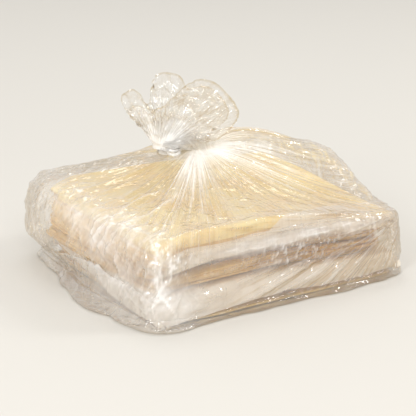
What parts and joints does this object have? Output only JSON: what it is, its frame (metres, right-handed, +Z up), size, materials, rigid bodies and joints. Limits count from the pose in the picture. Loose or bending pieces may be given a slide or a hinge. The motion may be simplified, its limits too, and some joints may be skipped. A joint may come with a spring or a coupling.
{
  "type": "bagged stack of fresh lasagna sheets",
  "caption": "Thick rectangular stack of fresh yellow pasta sheets with thin liners, in a crinkled clear film bag drawn up to a knot with a fan-shaped frill.",
  "frame": {"origin": "middle of the base of the whole box, on the table surface", "axes": "+X along the stack's long side, +Y to the back, +Z up"},
  "size_m": [0.263, 0.222, 0.1595],
  "materials": {
    "clear_film": "gloss",
    "pasta": "satin",
    "liner": "satin"
  },
  "bodies": {
    "root": {"filled_bag": "clear_film"}
  },
  "joints": []
}
